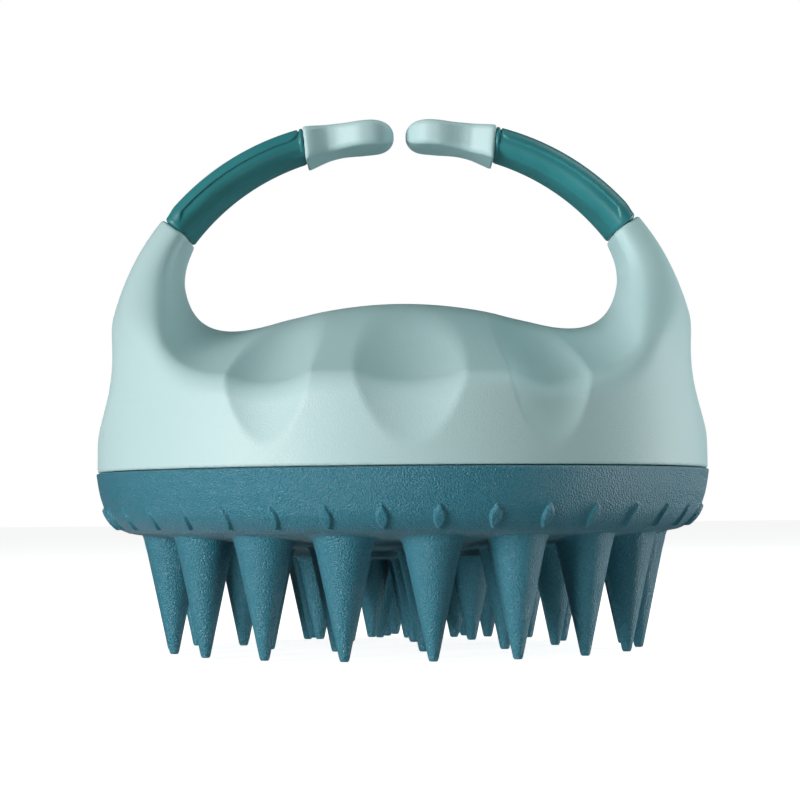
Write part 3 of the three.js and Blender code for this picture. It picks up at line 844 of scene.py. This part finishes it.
def add_underside(skin, edge, feet, cones, reaches):
    """The underside between the rim and the bristles' feet, divided into triangles in plan."""
    inner = skin.add_ring(on_underside(*underside_grid(cones, reaches).T))
    used = edge + sum(feet, []) + inner
    flat = [Vector(skin.points[i][:2]) for i in used]
    edges = []
    start = 0
    for loop in (edge, *feet):
        count = len(loop)
        edges += [(start + j, start + (j + 1) % count) for j in range(count)]
        start += count
    places, _, loops, origin, _, _ = delaunay_2d_cdt(flat, edges, [], 0, SAME_POINT)
    for loop in loops:
        middle = sum((places[i] for i in loop), Vector((0, 0))) / len(loop)
        if middle.length < UNDER_EDGE and not in_a_foot(middle, cones, reaches):
            skin.faces.append(tuple(used[origin[i][0]] for i in loop)[::-1])


def bristle_rings(cone, reach, base):
    """Radius, share of the way from sloping to level, and drop below the root, of each ring."""
    _, _, seat_radius, tip_z, _ = cone
    slope = (seat_radius - TIP_ROUNDING[0][0]) / (base + SEAT_LIFT - tip_z)
    rings = []
    for k in range(1, FILLET_RINGS + 1):
        share = k / FILLET_RINGS
        down = FILLET_DEPTH * share ** FILLET_DEPTH_POWER
        flare = reach * (1 - share) ** FILLET_REACH_POWER
        rings.append((seat_radius + flare - slope * down, share, down))
    top = base - FILLET_DEPTH
    end = tip_z + TIP_BAND
    for k in range(1, SIDE_RINGS + 1):
        z = top + (end - top) * k / SIDE_RINGS
        rings.append((CONE_TIP_RADIUS + slope * (z - tip_z), 1, base - z))
    for radius, rise in TIP_ROUNDING:
        rings.append((radius, 1, base - tip_z - rise))
    return rings


def add_bristle(skin, cone, foot, reach):
    """A cone from its foot on the underside, through a root fillet, to its rounded tip."""
    x, y = cone[:2]
    base = float(under_z(math.hypot(x, y)))
    last = foot
    for radius, share, down in bristle_rings(cone, reach, base):
        local = on_underside(*circle(x, y, radius))
        ring = skin.add_ring([(a, b, z * (1 - share) + base * share - down) for a, b, z in local])
        skin.join(ring, last)
        last = ring
    skin.faces.append(tuple(last)[::-1])


def add_lid(skin, lip):
    """Closes the pad inside the shell, where nothing shows."""
    lid = skin.add_ring([(skin.points[i][0] * LID_SHARE, skin.points[i][1] * LID_SHARE, LID_Z) for i in lip])
    skin.join(lip, lid)
    skin.faces.append(tuple(lid))


def make_pad():
    skin = Skin()
    edge, lip = add_rim(skin)
    cones = bristle_facts()
    reaches = fillet_reaches(cones)
    feet = []
    for (x, y, seat_radius, _, _), reach in zip(cones, reaches):
        feet.append(skin.add_ring(on_underside(*circle(x, y, seat_radius + reach))))
    add_underside(skin, edge, feet, cones, reaches)
    for cone, foot, reach in zip(cones, feet, reaches):
        add_bristle(skin, cone, foot, reach)
    add_lid(skin, lip)
    piece = add_mesh("silicone_pad", skin.points, skin.faces, SILICONE)
    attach(piece, BODY)
    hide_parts("bristle_pad", *[c[4] for c in cones])


# ---------------------------------------------------------------- hidden CAD pieces
def finish_hidden_nodes():
    looks = {"base_plate": MINT, "left_arm_core": MINT, "right_arm_core": MINT}
    for name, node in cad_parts.items():
        if name in looks or name.startswith("screw_"):
            node.data.materials.clear()
            node.data.materials.append(looks.get(name, STEEL))


# ---------------------------------------------------------------- stage, light and camera
FLOOR_HALF = 6.0
FLOOR_DROP = 0.0001

LIGHT_TARGET = Vector((0, 0, 0.035))
# Name, azimuth from the front (positive to the right), elevation, distance, size, power and colour.
LIGHTS = (
    ("key", -52, 4, 0.9, (0.42, 0.42), 8.3, (1.0, 0.965, 0.96)),
    ("fill", 112, 1, 0.9, (0.35, 0.6), 4.0, (0.985, 0.99, 1.0)),
    ("low", 45, -38, 1.0, (0.4, 0.4), 1.8, (1.0, 1.0, 1.0)),
    ("top", 95, 55, 0.8, (0.5, 0.5), 2.2, (0.80, 0.99, 0.98)),
)
WORLD_LIGHT = 0.07
WORLD_LIGHT_COLOUR = (0.93, 1, 0.995, 1)

CAMERA_PLACE = (0, -0.3573, 0.01875)
CAMERA_LENS = 112.7
CAMERA_SENSOR = 36
CAMERA_PITCH = 0.0464
CAMERA_YAW = 0.0008
CAMERA_ROLL = -0.0092


def make_stage():
    mesh = bpy.data.meshes.new("floor")
    corners = [(sx * FLOOR_HALF, sy * FLOOR_HALF, 0) for sx, sy in ((-1, -1), (1, -1), (1, 1), (-1, 1))]
    mesh.from_pydata(corners, [], [(0, 1, 2, 3)])
    mesh.materials.append(pale_ground())
    floor = bpy.data.objects.new("floor", mesh)
    floor.location.z = -FLOOR_DROP
    floor.visible_diffuse = False
    floor.visible_glossy = False
    floor.visible_shadow = False
    bpy.context.scene.collection.objects.link(floor)


def add_area(name, azimuth, elevation, distance, size, power, colour):
    """A soft box aimed at the brush."""
    a = math.radians(azimuth)
    e = math.radians(elevation)
    place = Vector((math.sin(a) * math.cos(e), -math.cos(a) * math.cos(e), math.sin(e))) * distance
    data = bpy.data.lights.new(name, "AREA")
    data.shape = "RECTANGLE"
    data.size, data.size_y = size
    data.energy = power
    data.color = colour
    light = bpy.data.objects.new(name, data)
    light.location = LIGHT_TARGET + place
    light.rotation_euler = (-place).to_track_quat("-Z", "Y").to_euler()
    bpy.context.scene.collection.objects.link(light)


def make_world():
    """A dim glow all round, which the camera sees as white."""
    world = bpy.data.worlds.new("studio")
    bpy.context.scene.world = world
    world.use_nodes = True
    nodes, links = world.node_tree.nodes, world.node_tree.links
    dim = nodes["Background"]
    dim.inputs["Color"].default_value = WORLD_LIGHT_COLOUR
    dim.inputs["Strength"].default_value = WORLD_LIGHT
    white = nodes.new("ShaderNodeBackground")
    white.inputs["Color"].default_value = (1, 1, 1, 1)
    white.inputs["Strength"].default_value = 1.0
    seen = nodes.new("ShaderNodeLightPath")
    mix = nodes.new("ShaderNodeMixShader")
    links.new(seen.outputs["Is Camera Ray"], mix.inputs["Fac"])
    links.new(dim.outputs["Background"], mix.inputs[1])
    links.new(white.outputs["Background"], mix.inputs[2])
    links.new(mix.outputs["Shader"], nodes["World Output"].inputs["Surface"])


def make_camera():
    data = bpy.data.cameras.new("camera")
    data.lens = CAMERA_LENS
    data.sensor_width = CAMERA_SENSOR
    camera = bpy.data.objects.new("camera", data)
    camera.location = CAMERA_PLACE
    turn = Matrix.Rotation(CAMERA_YAW, 3, "Z") @ Matrix.Rotation(math.pi / 2 + CAMERA_PITCH, 3, "X")
    camera.rotation_euler = (turn @ Matrix.Rotation(CAMERA_ROLL, 3, "Z")).to_euler()
    bpy.context.scene.collection.objects.link(camera)
    bpy.context.scene.camera = camera


make_camera()
for light_settings in LIGHTS:
    add_area(*light_settings)
make_world()
make_stage()
make_shell()
for arm_side, sign in (("left", -1), ("right", 1)):
    make_sleeve(arm_side, sign)
    make_tip(arm_side, sign)
make_pad()
finish_hidden_nodes()
bpy.context.scene.view_settings.view_transform = "Standard"
